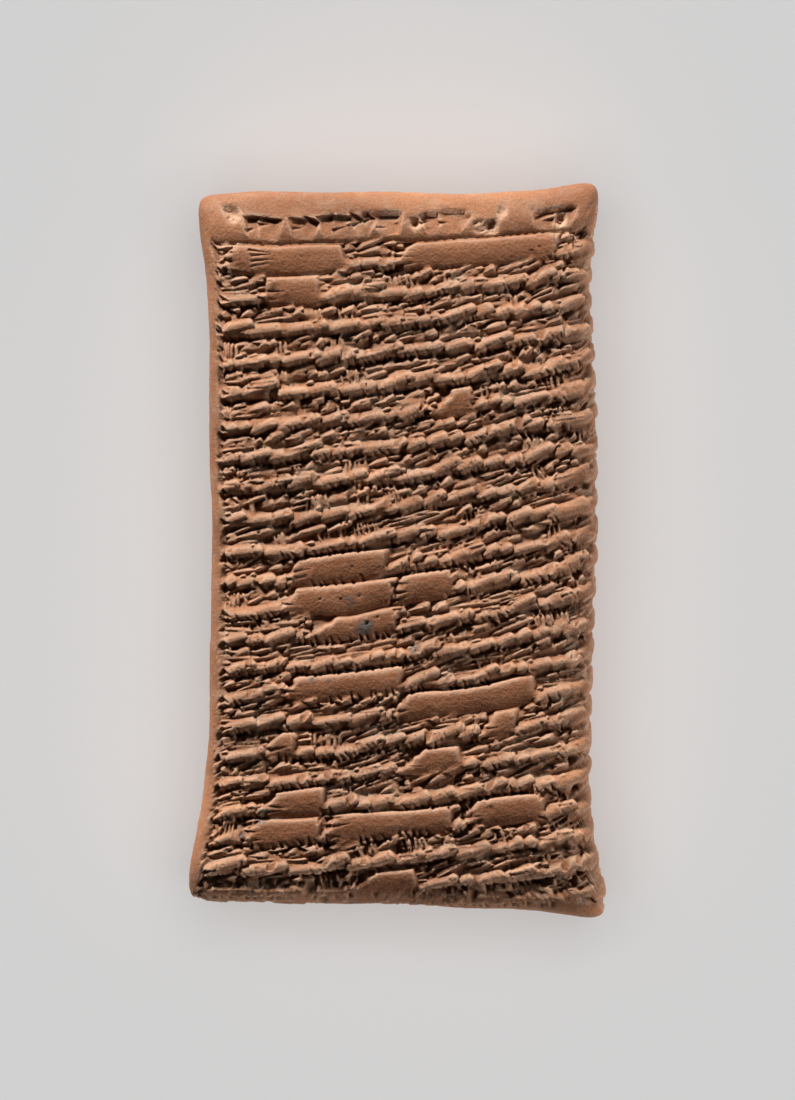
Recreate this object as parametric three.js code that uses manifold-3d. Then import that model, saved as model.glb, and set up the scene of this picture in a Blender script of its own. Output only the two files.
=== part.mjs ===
// A hand-sized clay tablet, closely written with a stylus: one solid of reddish clay with pinched-out
// corners, a nearly flat obverse of ruled rows whose ends run round the right edge, and a fuller, plainer
// reverse. It lies on its reverse. Millimetres; X to the right, Y to the top edge, Z out of the obverse.
// The writing is made up: seeded rows of stylus wedges that spell nothing.

import * as THREE from "three";
import { ConvexGeometry } from "three/addons/geometries/ConvexGeometry.js";
import { mergeVertices } from "three/addons/utils/BufferGeometryUtils.js";
import Module from "manifold-3d";

// ---- Driving dimensions -------------------------------------------------------------------------------

const HALF_WIDTH = 29; // middle to the long edges, before the corners flare
const HALF_HEIGHT = 52; // middle to the top and bottom edges
const OBVERSE_RISE = 11; // mid-plane to the written face
const OBVERSE_CROWN = 0.9; // extra height in the middle of the written face
const REVERSE_RISE = 13.6; // mid-plane to the crown of the reverse
const RESTING_CUT = 0.4; // how deep the resting place is pressed flat into the reverse

// Roundness of the lump, as superellipse powers: high is square.
const OBVERSE_FULLNESS = 10;
const REVERSE_FULLNESS = 4;
const PLAN_FULLNESS = 34; // the corners seen from above
const CORNER_PINCH = 0.3; // share of the thickness lost where the corners are pinched out
const CORNER_REACH = 9; // power that keeps the pinch near the corners

// Each edge, as its distance from the middle at even steps along it.
const LEFT_EDGE = [-30.7, -28.3, -27.2, -26.8, -26.9, -27.1, -27.1, -27.5, -29.3]; // bottom to top
const RIGHT_EDGE = [30.7, 28.4, 28.0, 28.4, 29.0, 29.0, 28.4, 28.1, 29.7]; // bottom to top
const TOP_EDGE = [51.7, 51.95, 51.9, 51.9, 51.7, 52.2, 53.7]; // left to right
const BOTTOM_EDGE = [-50.8, -50.95, -51.1, -51.4, -51.8, -52.3, -53.4]; // left to right

// Ruled lines, counted down from line 0 under the plain top rim. Row 1 lies between lines 0 and 1.
const ROWS = 23;
const KNOT_ROWS = 4; // every so many lines, the heights below give a line's two ends
const LINES_LEFT = [49.2, 30.7, 12.0, -6.2, -22.3, -39.5, -53.2];
const LINES_RIGHT = [50.6, 34.9, 18.2, 1.2, -15.7, -33.9, -50.0];
const CLIMB_BEND = 1.6; // a line leaves the left margin level and climbs ever faster: power of the climb
const EDGE_START = 0.955; // where a row begins to be squeezed against the top or bottom edge

// A row from its upper line down: share of the row, height where written, height where left plain.
const ROW_PROFILE = [
  [0, -0.75, -0.65],
  [0.18, -0.45, -0.06],
  [0.72, 0.06, 0.1],
];
const RIM_SHARE = -0.3; // the plain rim begins this share of a row above line 0
const HEEL_SHARE = 1.2; // the plain heel begins this share of the last row down

// Stretches of a row left plain: row, start and end as shares of the width.
const PLAIN_STRETCHES = [
  [2, 0.06, 0.34], [2, 0.5, 0.91], [3, 0.12, 0.26], [12, 0.25, 0.46], [13, 0.23, 0.46], [13, 0.5, 0.62],
  [14, 0.26, 0.46], [16, 0.2, 0.48], [17, 0.5, 0.84], [19, 0.49, 0.68], [20, 0.12, 0.34],
  [21, 0.1, 0.3], [21, 0.32, 0.64], [21, 0.7, 0.88],
];
const REVERSE_FIRST_ROW = 20; // the last rows run on round the lower part of the reverse
const REVERSE_STRENGTH = 0.6; // and are shallower there

// Stylus wedges, as least and greatest sizes.
const SEED = 2311;
const SIGN_WIDTH = [6.8, 10]; // room along the row for one group of strokes
const BAR_WIDTH = [1.3, 1.8]; // head of a wedge lying along the row
const BAR_SHARES = [0.26, 0.62]; // how far down the row two stacked bars lie
const POST_WIDTH = [1.4, 1.9]; // head of a wedge standing across the row
const POST_SPACING = 3.4; // widest step between two posts
const POST_LENGTH = [2.6, 3.6];
const POST_SHARE = [0.28, 0.5]; // how far down the row its deepest point lies
const POST_LEAN = [1.15, 1.35]; // turn of its tail down from the row, in radians
const POST_CHANCE = 0.5; // share of the groups that are posts rather than bars
const WEDGE_DEPTH = [0.85, 1.15];
const WEDGE_HEAD = 0.2; // share of a wedge's length between its head and its deepest point
const CLEARANCE = 0.5; // how far a cutter stands out of the clay

// Chips out of the upper part and the left side: x, y, size across, depth.
const CHIPS = [
  [-23.3, 49.4, 3.2, 0.7],
  [2.7, 47.7, 2.6, 0.6],
  [13.2, 47.4, 3.0, 0.6],
  [15.1, 50.0, 2.4, 0.4],
  [24.4, 48.6, 1.8, 0.6],
  [-19.4, 22.6, 2.4, 0.5],
];
const CHIP_CORNERS = 14;
const CHIP_WEAR = [0.75, 1]; // how far each corner of a chip reaches, as a share of its size

// Mesh fineness.
const OBVERSE_STEPS = 12; // columns across the obverse
const REVERSE_STEPS = 5; // columns across the reverse
const SIDE_LEVELS = [0.85, 0.3, -0.6]; // down each long side: 1 obverse, -1 reverse
const END_RINGS = [0.97, 0.9, 0.7, 0.35, 0]; // rings that close the top and bottom ends
const HALVINGS = 24; // steps of the search for the surface
const TANGENT_STEP = 1e-3;
const MERGE_DISTANCE = 1e-5;

const CLAY = { color: 0xa5694a, roughness: 0.9, metalness: 0 };

// ---- Small helpers ------------------------------------------------------------------------------------

const { abs, ceil, max, sign } = Math;
const { clamp, lerp, seededRandom } = THREE.MathUtils;
const between = ([least, greatest]) => lerp(least, greatest, seededRandom());

// A smooth curve through values at even steps of its argument, which starts at first.
function smooth(values, first, step) {
  const curve = new THREE.SplineCurve(values.map((value) => new THREE.Vector2(value, 0)));
  const last = values.length - 1;
  return (place) => curve.getPoint(clamp((place - first) / step / last, 0, 1)).x;
}

const edge = (values, half) => smooth(values, -half, (2 * half) / (values.length - 1));
const leftEdge = edge(LEFT_EDGE, HALF_HEIGHT);
const rightEdge = edge(RIGHT_EDGE, HALF_HEIGHT);
const topEdge = edge(TOP_EDGE, HALF_WIDTH + 1);
const bottomEdge = edge(BOTTOM_EDGE, HALF_WIDTH + 1);
const lineLeft = smooth(LINES_LEFT, 0, KNOT_ROWS);
const lineRight = smooth(LINES_RIGHT, 0, KNOT_ROWS);

// ---- The bare lump of clay ----------------------------------------------------------------------------
// A place on the lump is a direction from its middle, [across, along, up], each -1 to 1.

// How far a direction reaches: 1 on the unit lump's surface, more outside it.
function gauge([across, along, up]) {
  const fullness = up >= 0 ? OBVERSE_FULLNESS : REVERSE_FULLNESS;
  const plan = abs(across) ** PLAN_FULLNESS + abs(along) ** PLAN_FULLNESS;
  return (plan ** (fullness / PLAN_FULLNESS) + abs(up) ** fullness) ** (1 / fullness);
}

// The surface of the lump in a direction, fitted between the four edges.
function lump(direction) {
  const reach = gauge(direction);
  const [across, along, up] = direction.map((part) => part / reach);
  const level = along * HALF_HEIGHT;
  const x = lerp(leftEdge(level), rightEdge(level), (across + 1) / 2);
  const y = lerp(bottomEdge(x), topEdge(x), (along + 1) / 2);
  const pinch = 1 - CORNER_PINCH * abs(across * along) ** CORNER_REACH;
  const rise = up > 0 ? OBVERSE_RISE + OBVERSE_CROWN * (1 - across ** 2) * (1 - along ** 2) : REVERSE_RISE;
  return new THREE.Vector3(x, y, up * rise * pinch);
}

// The outward normal there, from two tangents that leave the direction's longest part alone.
function outward(direction) {
  const longest = direction.map(abs).indexOf(max(...direction.map(abs)));
  const tangents = [0, 1, 2].filter((axis) => axis !== longest).map((axis) => {
    const ahead = lump(direction.with(axis, direction[axis] + TANGENT_STEP));
    const behind = lump(direction.with(axis, direction[axis] - TANGENT_STEP));
    return ahead.sub(behind);
  });
  const normal = tangents[0].cross(tangents[1]).normalize();
  return normal.dot(lump(direction)) < 0 ? normal.negate() : normal;
}

const raised = (direction, height) => lump(direction).addScaledVector(outward(direction), height);

// The direction that meets the surface at a place along the lump, on the side of it that (a, c) points to.
function sectionPoint(a, along, c) {
  let [inside, outside] = [0, 2];
  for (let i = 0; i < HALVINGS; i += 1) {
    const middle = (inside + outside) / 2;
    if (gauge([a * middle, along, c * middle]) < 1) inside = middle;
    else outside = middle;
  }
  return [a * inside, along, c * inside];
}

// The direction of a point of the obverse.
function onObverse(across, along) {
  const plan = abs(across) ** PLAN_FULLNESS + abs(along) ** PLAN_FULLNESS;
  const up = max(0, 1 - plan ** (OBVERSE_FULLNESS / PLAN_FULLNESS)) ** (1 / OBVERSE_FULLNESS);
  return [across, along, up];
}

// ---- Ruled lines and rows -----------------------------------------------------------------------------

// The height of a ruled line, or of a share of the way between two, at a place across the tablet.
function lineHeight(line, across) {
  return lerp(lineLeft(line), lineRight(line), ((across + 1) / 2) ** CLIMB_BEND);
}

// A height as a place along the lump; near the two ends the rows are squeezed together.
function alongAt(across, height) {
  const x = lerp(leftEdge(height), rightEdge(height), (across + 1) / 2);
  const along = (2 * (height - bottomEdge(x))) / (topEdge(x) - bottomEdge(x)) - 1;
  const room = 1 - EDGE_START;
  const excess = max(0, abs(along) - EDGE_START);
  return excess ? sign(along) * (EDGE_START + (room / 2) * (1 - Math.exp(-excess / room))) : along;
}

// Whether a row is left plain at a place across the tablet.
function isPlain(row, across) {
  const share = (across + 1) / 2;
  return PLAIN_STRETCHES.some(([plainRow, start, end]) => plainRow === row && share > start && share < end);
}

// How strongly the rows are marked on one part of a section: the obverse, round the right side, and low on
// the reverse; never on the left side.
function rowStrength(row, a, c) {
  if (c === 1 || (a === 1 && c > SIDE_LEVELS.at(-1))) return 1;
  return c === -1 && row >= REVERSE_FIRST_ROW ? REVERSE_STRENGTH : 0;
}

// ---- The ruled body -----------------------------------------------------------------------------------

// The places round one section, as [a, c] on the square -1 to 1, starting at the obverse's right corner.
function sectionPlaces() {
  const steps = (count) => Array.from({ length: count + 1 }, (_, i) => (2 * i) / count - 1);
  return [
    ...steps(OBVERSE_STEPS).toReversed().map((a) => [a, 1]),
    ...SIDE_LEVELS.map((c) => [-1, c]),
    ...steps(REVERSE_STEPS).map((a) => [a, -1]),
    ...SIDE_LEVELS.toReversed().map((c) => [1, c]),
  ];
}

// The section's directions at a share of the way down a row.
function rowSection(row, share) {
  return sectionPlaces().map(([a, c]) => {
    const across = a / gauge([a, 0, c]);
    return sectionPoint(a, alongAt(across, lineHeight(row - 1 + share, across)), c);
  });
}

// One ring of the body: a row's section with the relief of one line of its profile.
function rowRing(row, share, written, plain) {
  const places = sectionPlaces();
  return rowSection(row, share).map((direction, i) => {
    const height = isPlain(row, direction[0]) ? plain : written;
    return raised(direction, height * rowStrength(row, ...places[i]));
  });
}

// Smaller and smaller rings from a section to the middle of the end it is near.
function endRings(section) {
  const shrunk = (share) => ([across, along, up]) => lump([across * share, along, up * share]);
  return END_RINGS.map((share) => section.map(shrunk(share)));
}

// All the rings, top to bottom.
function bodyRings() {
  const rings = endRings(rowSection(1, RIM_SHARE)).toReversed();
  rings.push(rowRing(1, RIM_SHARE, 0, 0));
  for (let row = 1; row <= ROWS; row += 1) {
    const profiles = row > 1 ? ROW_PROFILE : ROW_PROFILE.slice(1); // the rim steps down with no groove
    for (const profile of profiles) rings.push(rowRing(row, ...profile));
  }
  rings.push(rowRing(ROWS, 1, ...ROW_PROFILE[0].slice(1)));
  rings.push(rowRing(ROWS, HEEL_SHARE, 0, 0));
  rings.push(...endRings(rowSection(ROWS, HEEL_SHARE)));
  return rings;
}

// A closed skin over rings of equal length, whose first and last rings are single points.
function skin(rings) {
  const count = rings[0].length;
  const corners = [];
  for (let r = 1; r < rings.length; r += 1) {
    for (let i = 0; i < count; i += 1) {
      const j = (i + 1) % count;
      if (r > 1) corners.push(rings[r - 1][i], rings[r - 1][j], rings[r][j]);
      if (r < rings.length - 1) corners.push(rings[r - 1][i], rings[r][j], rings[r][i]);
    }
  }
  return new THREE.BufferGeometry().setFromPoints(corners);
}

// ---- Strokes and chips --------------------------------------------------------------------------------

// A spot on a row: its point, its outward normal and the direction onward along the row.
function rowSpot(row, share, across) {
  const direction = (place) => onObverse(place, alongAt(place, lineHeight(row - 1 + share, place)));
  const point = lump(direction(across));
  const normal = outward(direction(across));
  const onward = lump(direction(across + TANGENT_STEP)).sub(point).normalize();
  return { point, normal, onward };
}

// The cutter of one stylus wedge: three corners above the clay and one at the deepest point, near the head.
function wedge({ point, normal, onward }, turn, length, width) {
  const depth = between(WEDGE_DEPTH);
  const spread = 1 + CLEARANCE / depth;
  const tailward = onward.clone().applyAxisAngle(normal, -turn);
  const sideways = normal.clone().cross(tailward);
  const corner = (forward, aside) =>
    point
      .clone()
      .addScaledVector(normal, CLEARANCE)
      .addScaledVector(tailward, forward * length * spread)
      .addScaledVector(sideways, aside * width * spread);
  return new ConvexGeometry([
    corner(-WEDGE_HEAD, -0.5),
    corner(-WEDGE_HEAD, 0.5),
    corner(1 - WEDGE_HEAD, 0),
    point.clone().addScaledVector(normal, -depth),
  ]);
}

// A group of strokes that fills a stretch of a row: two bars one above the other, or a rank of posts.
function strokeGroup(row, start, room) {
  const across = (distance) => (start + distance) / HALF_WIDTH - 1;
  if (seededRandom() > POST_CHANCE) {
    return BAR_SHARES.map((share) =>
      wedge(rowSpot(row, share, across(WEDGE_HEAD * room)), 0, room, between(BAR_WIDTH)),
    );
  }
  const posts = ceil(room / POST_SPACING);
  return Array.from({ length: posts }, (_, i) => {
    const spot = rowSpot(row, between(POST_SHARE), across((room * (i + 0.5)) / posts));
    return wedge(spot, between(POST_LEAN), between(POST_LENGTH), between(POST_WIDTH));
  });
}

// Every stroke on the obverse, row by row, leaving the plain stretches bare.
function strokes() {
  const cutters = [];
  for (let row = 1; row <= ROWS; row += 1) {
    const end = 2 * HALF_WIDTH - SIGN_WIDTH[1];
    for (let start = SIGN_WIDTH[0] / 2, room; start < end; start += room) {
      room = between(SIGN_WIDTH);
      if (!isPlain(row, (start + room / 2) / HALF_WIDTH - 1)) cutters.push(...strokeGroup(row, start, room));
    }
  }
  return cutters;
}

// The cutter of a chip: a flattened, worn pebble sunk in the surface.
function chip([x, y, size, depth]) {
  const across = (2 * (x - leftEdge(y))) / (rightEdge(y) - leftEdge(y)) - 1;
  const direction = onObverse(across, alongAt(across, y));
  const flat = new THREE.Vector3(0, 0, 1);
  const turned = new THREE.Quaternion().setFromUnitVectors(flat, outward(direction));
  const goldenTurn = Math.PI * (3 - 5 ** 0.5);
  const points = Array.from({ length: CHIP_CORNERS }, (_, i) => {
    const level = 1 - (2 * i + 1) / CHIP_CORNERS;
    const round = new THREE.Vector3(Math.sqrt(1 - level ** 2), 0, level).applyAxisAngle(flat, i * goldenTurn);
    return round
      .multiply(new THREE.Vector3(size / 2, size / 2, depth))
      .multiplyScalar(between(CHIP_WEAR))
      .applyQuaternion(turned)
      .add(lump(direction));
  });
  return new ConvexGeometry(points);
}

// The block that presses the resting place flat.
function restingBlock() {
  const block = new THREE.BoxGeometry(3 * HALF_WIDTH, 3 * HALF_HEIGHT, REVERSE_RISE);
  return block.translate(0, 0, RESTING_CUT - 1.5 * REVERSE_RISE);
}

// ---- Joining and cutting ------------------------------------------------------------------------------

const wasm = await Module();
wasm.setup();

// A closed geometry as a solid that can be cut.
function solid(geometry) {
  const bare = geometry.clone();
  bare.deleteAttribute("normal");
  bare.deleteAttribute("uv");
  const merged = mergeVertices(bare, MERGE_DISTANCE);
  return new wasm.Manifold(
    new wasm.Mesh({
      numProp: 3,
      vertProperties: new Float32Array(merged.attributes.position.array),
      triVerts: new Uint32Array(merged.index.array),
    }),
  );
}

// A solid back as a geometry, set down on its resting place.
function geometryOf(shape) {
  const { vertProperties, triVerts } = shape.getMesh();
  const geometry = new THREE.BufferGeometry();
  geometry.setAttribute("position", new THREE.BufferAttribute(vertProperties, 3));
  geometry.setIndex(new THREE.BufferAttribute(triVerts, 1));
  geometry.computeBoundingBox();
  const { min: low, max: high } = geometry.boundingBox;
  geometry.translate(-(low.x + high.x) / 2, -(low.y + high.y) / 2, -low.z);
  geometry.computeVertexNormals();
  return geometry;
}

// ---- The tablet ---------------------------------------------------------------------------------------

seededRandom(SEED);
let body = solid(skin(bodyRings()));
for (const cutter of [restingBlock(), ...strokes(), ...CHIPS.map(chip)]) {
  body = body.subtract(solid(cutter));
}

const tablet = new THREE.Mesh(geometryOf(body), new THREE.MeshStandardMaterial(CLAY));
tablet.name = "tablet";

const part = new THREE.Group();
part.add(tablet);

export default part;
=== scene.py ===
"""A hand-sized clay tablet, closely written with a stylus, lying on its reverse under studio light.

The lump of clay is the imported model's own form. Its surface carries the finer relief: ruled rows of lumps
and wedges that spell nothing, plain stretches, chips, pits and wear. Sizes are in millimetres until the
mesh is placed, X to the right, Y to the top edge, Z out of the obverse.
"""

from __future__ import annotations

import logging
import math
from collections.abc import Iterator
from dataclasses import dataclass, field
from enum import Enum

import bmesh
import bpy
import numpy as np
from mathutils import Matrix, Vector


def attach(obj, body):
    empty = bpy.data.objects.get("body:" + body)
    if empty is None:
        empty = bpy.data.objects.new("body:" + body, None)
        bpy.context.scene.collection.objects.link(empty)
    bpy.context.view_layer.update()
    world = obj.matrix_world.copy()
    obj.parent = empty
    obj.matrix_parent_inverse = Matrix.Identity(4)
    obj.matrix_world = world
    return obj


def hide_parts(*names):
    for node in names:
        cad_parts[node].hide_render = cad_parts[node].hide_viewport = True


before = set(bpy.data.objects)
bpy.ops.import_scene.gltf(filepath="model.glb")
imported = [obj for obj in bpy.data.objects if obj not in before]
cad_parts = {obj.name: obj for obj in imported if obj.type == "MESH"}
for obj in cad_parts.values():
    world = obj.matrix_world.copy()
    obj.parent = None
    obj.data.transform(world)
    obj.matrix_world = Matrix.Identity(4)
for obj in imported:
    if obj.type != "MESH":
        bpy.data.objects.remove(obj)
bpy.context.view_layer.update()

Array = np.ndarray
Colour = tuple[float, float, float]
Range = tuple[float, float]  # the least and the greatest of a seeded amount
Size = float | tuple[float, ...]  # an amount, or a range to draw from and then what the drawn one is times
Socket = bpy.types.NodeSocket

LOG = logging.getLogger("tablet")
METRES = 0.001  # one millimetre
ON_FACE = 0.99999  # a corner this far out lies on a face of the unit cube
NODE = "tablet"


class Side(Enum):
    """The parts of the lump's surface, as the sheet of relief meets them."""

    OBVERSE = 0
    LEFT = 1
    RIGHT = 2
    END = 3
    REVERSE = 4


class Ground(Enum):
    """What is pressed into a stretch of a row."""

    WRITTEN = (
        (0, -1.0), (0.06, -0.88), (0.30, -0.75), (0.46, -0.66),
        (0.58, -0.25), (0.70, -0.02), (0.82, -0.16), (0.93, -0.92),
    )
    PLAIN = (
        (0, -0.60), (0.025, -0.25), (0.055, -0.02), (0.12, 0.10), (0.26, 0.16),
        (0.5, 0.11), (0.7, -0.04), (0.86, -0.22), (0.93, -0.34), (0.965, -0.5),
    )
    OPENING = (
        (0, 0.06), (0.3, 0.12), (0.5, 0.10), (0.7, 0.0),
        (0.86, -0.18), (0.95, -0.36), (0.985, -0.55), (0.999, 0.0),
    )

    def height(self, share: Array, softness: float) -> Array:
        """Height of the ground at shares of the way down a row.

        Args:
            share: Shares down the row, 0 at its upper line and 1 at its lower.
            softness: How far the corners of the profile are worn, as a share of the row.

        Returns:
            Heights over the bare lump, in millimetres.
        """
        step = 0.002
        fine = np.arange(-0.5, 1.5, step)
        places, heights = zip(*self.value, (1, self.value[0][1]))
        table = np.interp(fine % 1.0, places, heights)
        reach = int(3 * softness / step) + 1
        kernel = np.exp(-0.5 * (np.arange(-reach, reach + 1) * step / softness) ** 2)
        return np.interp(share, fine, np.convolve(table, kernel / kernel.sum(), mode="same"))


def spline(knots: Array, place: Array) -> Array:
    """A smooth curve through knots.

    Args:
        knots: Values at whole steps of place, along the first axis.
        place: Where to read the curve, clamped to the knots.

    Returns:
        One value, or one row of values, for each place.
    """
    values = np.asarray(knots, dtype=float)
    last = len(values) - 1
    place = np.clip(np.asarray(place, dtype=float), 0.0, last)
    start = np.minimum(place.astype(int), last - 1)
    after = (place - start).reshape(place.shape + (1,) * (values.ndim - 1))
    before, here = values[np.maximum(start - 1, 0)], values[start]
    there, beyond = values[start + 1], values[np.minimum(start + 2, last)]
    leave, arrive = (there - before) / 2, (beyond - here) / 2
    cubic = 2 * here - 2 * there + leave + arrive
    square = 3 * there - 3 * here - 2 * leave - arrive
    return ((cubic * after + square) * after + leave) * after + here


def smoothstep(low: float, high: float, value: Array) -> Array:
    """A soft step, 0 up to low and 1 from high, at each value."""
    share = np.clip((value - low) / (high - low), 0, 1)
    return share * share * (3 - 2 * share)


@dataclass(frozen=True)
class Lump:
    """The bare lump of clay. A place on it is a direction (across, along, up), each part -1 to 1."""

    half_width: float = 29.0
    half_height: float = 52.0
    obverse_rise: float = 11.0
    crown: float = 0.9
    reverse_rise: float = 13.6
    resting_level: float = 13.2
    obverse_fullness: float = 10.0
    reverse_fullness: float = 4.0
    plan_fullness: float = 34.0
    corner_pinch: float = 0.3
    corner_reach: float = 9.0
    left_edge: tuple[float, ...] = (-30.7, -28.3, -27.2, -26.8, -26.9, -27.1, -27.1, -27.5, -29.3)
    right_edge: tuple[float, ...] = (30.7, 28.4, 28.0, 28.4, 29.0, 29.0, 28.4, 28.1, 29.7)
    top_edge: tuple[float, ...] = (51.7, 51.95, 51.9, 51.9, 51.7, 52.2, 53.7)
    bottom_edge: tuple[float, ...] = (-50.8, -50.95, -51.1, -51.4, -51.8, -52.3, -53.4)

    @staticmethod
    def _edge(values: tuple[float, ...], half: float, at: Array) -> Array:
        """An edge's distance from the middle, at places from -half to half along it."""
        return spline(values, (at + half) / (2 * half) * (len(values) - 1))

    def meet(self, place: Array) -> Array:
        """Bring places onto the unit lump.

        Args:
            place: Directions from the middle, one row each.

        Returns:
            The same directions, each reaching to the surface.
        """
        across, along, up = np.abs(place).T
        fullness = np.where(place[:, 2] >= 0, self.obverse_fullness, self.reverse_fullness)
        plan = across**self.plan_fullness + along**self.plan_fullness
        reach = (plan ** (fullness / self.plan_fullness) + up**fullness) ** (1 / fullness)
        return place / reach[:, None]

    def points(self, met: Array) -> Array:
        """The lump's points for directions that meet its surface.

        Args:
            met: Directions as meet() returns them.

        Returns:
            Points in millimetres from the middle of the lump.
        """
        across, along, up = met.T
        level = along * self.half_height
        left = self._edge(self.left_edge, self.half_height, level)
        right = self._edge(self.right_edge, self.half_height, level)
        x = left + (right - left) * (across + 1) / 2
        low = self._edge(self.bottom_edge, self.half_width + 1, x)
        high = self._edge(self.top_edge, self.half_width + 1, x)
        y = low + (high - low) * (along + 1) / 2
        pinch = 1 - self.corner_pinch * np.abs(across * along) ** self.corner_reach
        obverse = self.obverse_rise + self.crown * (1 - across**2) * (1 - along**2)
        return np.stack([x, y, up * np.where(up > 0, obverse, self.reverse_rise) * pinch], axis=1)


@dataclass(frozen=True)
class Ruling:
    """The ruled lines, counted down from line 0 under the top rim. Row 1 lies between lines 0 and 1."""

    rows: int = 24
    knot_rows: int = 4
    pitch: float = 4.4
    half_width: float = 29.0
    left: tuple[float, ...] = (67.7, 49.2, 30.7, 12.0, -6.2, -23.2, -39.8, -57.2, -74.6)  # from line -4
    right: tuple[float, ...] = (66.3, 50.6, 34.9, 18.2, 1.2, -16.9, -34.4, -51.7, -69.0)
    climb_bend: float = 1.6

    def height(self, line: float, place: Array | float) -> Array | float:
        """Height of a ruled line.

        Args:
            line: The line's number; shares of the way between two lines count too.
            place: Distance right of the middle, in millimetres.

        Returns:
            Heights above the middle of the tablet, in millimetres.
        """
        inner = min(max(line, 0.0), self.rows + 1.0)
        climb = np.clip((np.asarray(place) / self.half_width + 1) / 2, 0, 1.25) ** self.climb_bend
        left = float(spline(self.left, inner / self.knot_rows + 1))
        right = float(spline(self.right, inner / self.knot_rows + 1))
        return left + (right - left) * climb + (inner - line) * self.pitch


@dataclass(frozen=True)
class Wedge:
    """One press of the stylus: a head with a flat wall, and a tail."""

    head: float
    head_length: float
    length: float
    depth: float
    tail: float
    left: float = 1.0  # steepness of each flank, over that of an even head
    right: float = 1.0
    wall: float = 2.2
    lip: float = 0.05
    flat: float = 0.0  # half the width of its flat floor
    follows: bool = False  # cuts to its depth below the clay as it stands, not below the bare lump


@dataclass(frozen=True)
class Mound:
    """A rounded lump of clay left standing between strokes, pointed at its start and blunt at its end."""

    length: float
    half_width: float
    top: float
    bend: float = 0.3
    tip: float = 0.45
    end: float = 0.1
    shelve: float = 0.08  # how far the crest lies off the middle, towards the shaded side
    rise: float = 0.0
    foot: float = -0.85
    roundness: float = 1.8  # 1 for a sharp ridge, more for a rounder one
    sunk: float = 0.0  # how much lower than its top it is left


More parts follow.
